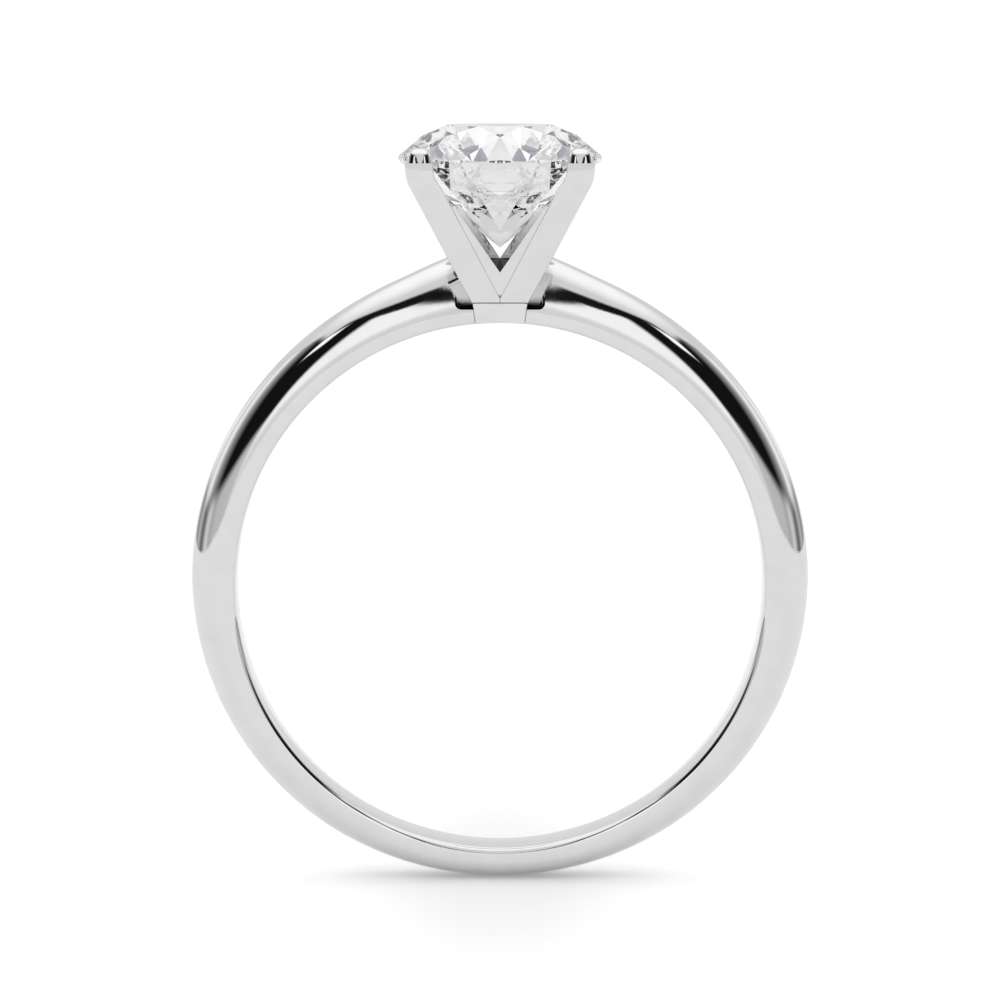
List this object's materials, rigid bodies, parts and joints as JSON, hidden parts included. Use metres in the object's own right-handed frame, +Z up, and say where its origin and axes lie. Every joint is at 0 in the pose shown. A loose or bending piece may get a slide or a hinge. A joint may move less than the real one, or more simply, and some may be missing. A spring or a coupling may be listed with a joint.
{
  "type": "engagement ring",
  "caption": "Solitaire finger ring: a domed band with flat flanks, and a tapered square prong head with V-notched sides that holds a round brilliant-cut stone.",
  "frame": {"origin": "on the surface that the ring stands on, under the middle of the band's outermost point opposite the stone", "axes": "+Z up through the centre of the finger hole to the middle of the stone's table, Y along the finger hole's axis, X across the ring from side to side"},
  "size_m": [0.0194, 0.0064, 0.0236],
  "materials": {
    "white_gold": "polished rhodium-bright white gold",
    "diamond": "clear, colourless, cut and polished"
  },
  "bodies": {
    "root": {"shank": "white_gold", "head_collar": "white_gold", "head_gallery": "white_gold", "prong_back_right": "white_gold", "prong_back_left": "white_gold", "prong_front_left": "white_gold", "prong_front_right": "white_gold", "stone": "diamond"}
  },
  "joints": []
}
